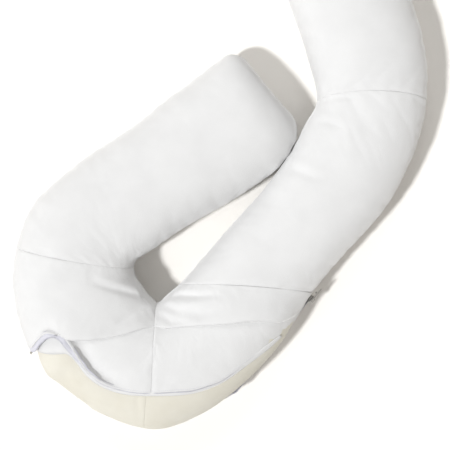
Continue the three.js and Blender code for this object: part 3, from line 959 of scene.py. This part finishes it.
for share in np.linspace(0, 1, 7):
    at, _ = layOn(casingSurface, upper * (1 - share) + lower * share)
    at[:, 2] += 1.6 + 1.2 * math.sin(math.pi * share)
    layers.append(at)
net = np.stack(layers, axis=1)
piece = clothPiece("zipGuardStrip", net, *flatUV(net), 0.8)
finishTrim(piece, velour, ["zip_guard_strip"])
report("upper zip")

# The lower half of the zip, sewn to the rim of the cover that lies under the cushion
lowerZip = {
    "start": 8.3, "end": 14.93, "spacing": 2.5, "across": (4.5, 1, -2.5, -4.6), "outside": 0.7,
    "teethAbove": 5.8, "raised": 2.2, "drawnOut": 1.35,
}
z = lowerZip
zipAlong = Vector((*np.subtract(*tube["sliderWay"][::-1]), 0)).normalized()
place = rowPlaces(z["start"], z["end"], z["spacing"])
tightAngle = looseRim["tightAngle"]
rim = -(tightAngle + (looseRim["angle"] - tightAngle) * looseShare(place))[:, None]
net = looseSkin(place, rim - np.array(z["across"])[None, :], -z["outside"])
path = looseSkin(place, rim + z["teethAbove"], -z["outside"])[:, 0]
# along the slider's way the tape stands upright, and holds the teeth in the slider's middle
held = smooth(12.85, 13, place)[:, None]
move = np.array([zipAlong.y * z["drawnOut"], -zipAlong.x * z["drawnOut"], z["raised"]])
path += move * held
net += (move * held)[:, None, :]
net[:, 2:, :2] += (path[:, None, :2] - net[:, 2:, :2]) * held[..., None]
piece = clothPiece("zipLowerTape", net, *flatUV(net), 0.7)
finishTrim(piece, tapeCloth, ["zip_lower_tape"])
along = np.gradient(path, axis=0)
along /= np.linalg.norm(along, axis=1, keepdims=True)
sideways = np.cross(along, [0, 0, 1.0])
upright = np.cross(sideways, along)
size, bevel, pitch = (upperZip[key] for key in ("toothSize", "toothBevel", "toothPitch"))
piece = blocksAlong("zipLowerTeeth", size, bevel, path, along, upright, sideways, pitch)
finishTrim(piece, tapeCloth, ["zip_lower_teeth"])
report("lower zip")

# The slider, its pull and the stops: cast zinc with soft edges, set in the zip's own frame
castParts = {
    "plate": (15, 12, 1.2), "plateAt": 2.6, "corner": 2.5, "edge": 0.25,
    "flange": (10, 1.4, 1.2), "flangeAt": 5.3, "flangeDepth": 1.45, "post": (2.6, 2.2, 4.4),
    "strap": (8.4, 4, 1.2), "strapAt": 7.6, "leg": (1.2, 4, 5.2), "legAt": 3.6, "legDepth": 5.6,
    "pull": (30, 9, 1.6), "pullCorner": 3, "barWidth": 2.6, "eye": (5.4, 5.2), "hole": 2.2,
    "holeFromEnd": 7, "rim": 1.1, "recess": 0.35,
}


def mm(*values):
    return tuple(v / 1000 for v in values)


def startBlock(name, size, at=(0, 0, 0)):
    bpy.ops.object.select_all(action="DESELECT")
    bpy.ops.mesh.primitive_cube_add(size=1, location=mm(*at))
    block = bpy.context.object
    block.name = name
    block.scale = mm(*size)
    bpy.ops.object.transform_apply(location=True, rotation=False, scale=True)
    return block


def roundUprights(block, radius, segments=4):
    bpy.ops.object.mode_set(mode="EDIT")
    bpy.ops.mesh.select_all(action="DESELECT")
    bpy.ops.object.mode_set(mode="OBJECT")
    for edge in block.data.edges:
        a, b = (block.data.vertices[k].co for k in edge.vertices)
        edge.select = abs(a.z - b.z) > 1e-5 and abs(a.x - b.x) < 1e-6 and abs(a.y - b.y) < 1e-6
    bpy.ops.object.mode_set(mode="EDIT")
    bpy.ops.mesh.select_mode(type="EDGE")
    bpy.ops.mesh.bevel(offset=radius / 1000, segments=segments)
    bpy.ops.object.mode_set(mode="OBJECT")


def softenEdges(block, width):
    bevel = block.modifiers.new("edges", "BEVEL")
    bevel.width = width / 1000
    bevel.segments = 2
    bevel.limit_method = "ANGLE"
    bevel.angle_limit = math.radians(40)
    bpy.ops.object.modifier_apply(modifier=bevel.name)


def cutWith(block, cutter):
    bpy.ops.object.select_all(action="DESELECT")
    bpy.context.view_layer.objects.active = block
    block.select_set(True)
    cut = block.modifiers.new("hole", "BOOLEAN")
    cut.operation = "DIFFERENCE"
    cut.object = cutter
    bpy.ops.object.modifier_apply(modifier=cut.name)
    bpy.data.objects.remove(cutter)


def joinParts(parts):
    bpy.ops.object.select_all(action="DESELECT")
    for part in parts:
        part.select_set(True)
    bpy.context.view_layer.objects.active = parts[0]
    bpy.ops.object.join()
    return bpy.context.object


# Sets a part built round the origin at a CAD node's own middle, x along the zip and z outwards
def setAtNode(piece, node, along, shift=(0, 0, 0)):
    out = Vector((along.y, -along.x, 0))
    axes = (along, Vector((0, 0, 1)), out)
    corners = [Vector(v.co) for v in frame["nodes"][node].data.vertices]
    middle = Vector((0, 0, 0))
    for axis, offset in zip(axes, shift):
        reach = [axis.dot(c) for c in corners]
        middle += axis * ((min(reach) + max(reach)) / 2 + offset / 1000)
    piece.matrix_world = Matrix.Translation(middle) @ Matrix(axes).transposed().to_4x4()
    bpy.ops.object.select_all(action="DESELECT")
    piece.select_set(True)
    bpy.context.view_layer.objects.active = piece
    bpy.ops.object.transform_apply(location=True, rotation=True, scale=True)
    bpy.ops.object.shade_smooth_by_angle(angle=math.radians(35))


def finishMetal(piece, node, body):
    piece.data.materials.clear()
    piece.data.materials.append(nickel)
    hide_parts(node)
    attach(piece, body)


c = castParts
parts = []
for side in (1, -1):
    plate = startBlock("plate", c["plate"], (0, 0, side * c["plateAt"]))
    roundUprights(plate, c["corner"])
    softenEdges(plate, c["edge"])
    parts.append(plate)
    for up in (1, -1):
        flange = startBlock("flange", c["flange"], (0, up * c["flangeAt"], side * c["flangeDepth"]))
        softenEdges(flange, c["edge"])
        parts.append(flange)
    leg = startBlock("leg", c["leg"], (side * c["legAt"], 0, c["legDepth"]))
    softenEdges(leg, c["edge"])
    parts.append(leg)
parts.append(startBlock("post", c["post"], (c["plate"][0] / 2 - 2.2, 1.5, 0)))
strap = startBlock("strap", c["strap"], (0, 0, c["strapAt"]))
roundUprights(strap, 1.0, 3)
softenEdges(strap, c["edge"])
slider = joinParts(parts + [strap])
slider.name = "zipSlider"
setAtNode(slider, "zip_slider", zipAlong, (0, 0, -2.5))
finishMetal(slider, "zip_slider", "zip_slider")

length, width, thickness = c["pull"]
pull = startBlock("zipPull", c["pull"])
roundUprights(pull, c["pullCorner"])
# each face is pressed in a little inside a raised rim
for facing in (1, -1):
    bpy.ops.object.mode_set(mode="EDIT")
    bpy.ops.mesh.select_mode(type="FACE")
    bpy.ops.mesh.select_all(action="DESELECT")
    bpy.ops.object.mode_set(mode="OBJECT")
    for face in pull.data.polygons:
        face.select = face.normal.z * facing > 0.9
    bpy.ops.object.mode_set(mode="EDIT")
    bpy.ops.mesh.inset(thickness=c["rim"] / 1000)
    bpy.ops.transform.translate(value=mm(0, 0, -facing * c["recess"]))
    bpy.ops.object.mode_set(mode="OBJECT")
eyeAt = -length / 2 + c["barWidth"] + c["eye"][0] / 2
cutWith(pull, startBlock("eye", (*c["eye"], 5), (eyeAt, 0, 0)))
holeAt = length / 2 - c["holeFromEnd"]
bpy.ops.mesh.primitive_cylinder_add(
    vertices=32, radius=c["hole"] / 1000, depth=0.005, location=mm(holeAt, 0, 0)
)
cutWith(pull, bpy.context.object)
softenEdges(pull, 0.18)
setAtNode(pull, "zip_pull_tab", zipAlong)
finishMetal(pull, "zip_pull_tab", "zip_pull")
for node in ("zip_start_stop", "zip_lower_end_stop", "zip_upper_end_stop"):
    item = frame["nodes"][node]
    item.data.materials.clear()
    item.data.materials.append(nickel)
report("slider")

# The fibre filling, one closed plug to each body of the tube
filling = {"inset": 8, "spacing": 14, "anglesRound": 25}
fillings = {
    "hook": (0, 5.98),
    "bend": (6.02, 14.98),
    "long_arm": (15.02, 19.98),
    "head": (20.02, 26),
}
for name, (first, last) in fillings.items():
    place = rowPlaces(first, last, filling["spacing"])
    halves = []
    for side in (1, -1):
        around = np.linspace(0, 180, filling["anglesRound"])[None, :] * side
        angle = around * np.ones_like(place)[:, None]
        net = skinPoints(place, angle, filling["inset"], 1)
        halves.append(clothPiece("half", net, *flatUV(net), 0))
    bpy.ops.object.select_all(action="DESELECT")
    for half in halves:
        half.select_set(True)
    bpy.context.view_layer.objects.active = halves[0]
    bpy.ops.object.join()
    bpy.ops.object.mode_set(mode="EDIT")
    bpy.ops.mesh.select_all(action="SELECT")
    bpy.ops.mesh.remove_doubles(threshold=0.0003)
    bpy.ops.mesh.fill_holes(sides=0)
    bpy.ops.mesh.select_all(action="SELECT")
    bpy.ops.mesh.normals_make_consistent(inside=False)
    bpy.ops.object.mode_set(mode="OBJECT")
    piece = bpy.context.object
    piece.name = "fibrePlug_" + name
    finishCloth(piece, name, "filling_" + name, fibre)
report("filling")

# Studio: a white floor, a soft sun from the lower left, a weak broad one from above and an even sky
bpy.ops.mesh.primitive_plane_add(size=12, location=(0, 0, -0.0005))
floor = bpy.context.object
floor.name = "floor"
floorPaint, floorShader = newMaterial("whitePaint", Roughness=1.0)
floorShader.inputs["Base Color"].default_value = (0.99, 0.965, 0.925, 1)
floorShader.inputs["Specular IOR Level"].default_value = 0.0
floor.data.materials.append(floorPaint)

light = {
    "key": {"from": 208, "elevation": 57, "strength": 2.45, "softness": 5.5},
    "top": {"from": 95, "elevation": 42, "strength": 0.5, "softness": 28},
    "zenith": 0.42,
    "horizon": 0.36,
}
for name in ("key", "top"):
    item = light[name]
    bpy.ops.object.light_add(type="SUN", location=(-1, 0, 3))
    sun = bpy.context.object
    sun.name = name
    sun.data.energy = item["strength"]
    sun.data.angle = math.radians(item["softness"])
    sun.data.color = (0.98, 0.99, 1.0)
    turn, rise = math.radians(item["from"]), math.radians(item["elevation"])
    level = math.cos(rise)
    direction = Vector((math.cos(turn) * level, math.sin(turn) * level, math.sin(rise)))
    sun.rotation_euler = direction.to_track_quat("Z", "Y").to_euler()
world = bpy.data.worlds.new("studio")
bpy.context.scene.world = world
world.use_nodes = True
sky = world.node_tree
place = sky.nodes.new("ShaderNodeTexCoord")
height = sky.nodes.new("ShaderNodeSeparateXYZ")
ramp = sky.nodes.new("ShaderNodeMapRange")
ramp.inputs["From Min"].default_value = 0.0
ramp.inputs["To Min"].default_value = light["horizon"]
ramp.inputs["To Max"].default_value = light["zenith"]
sky.links.new(place.outputs["Generated"], height.inputs["Vector"])
sky.links.new(height.outputs["Z"], ramp.inputs["Value"])
sky.nodes["Background"].inputs["Color"].default_value = (1.0, 0.975, 0.94, 1)
sky.links.new(ramp.outputs["Result"], sky.nodes["Background"].inputs["Strength"])

view = {"centre": (0.0105, -0.235), "height": 3.0, "width": 0.9, "plane": 0.07}
bpy.ops.object.camera_add(location=(*view["centre"], view["height"]), rotation=(0, 0, 0))
camera = bpy.context.object
camera.data.sensor_width = 36
camera.data.lens = 36 * (view["height"] - view["plane"]) / view["width"]
camera.data.clip_end = 50
bpy.context.scene.camera = camera
bpy.context.scene.view_settings.view_transform = "Standard"
bpy.context.scene.view_settings.look = "None"
report("studio")
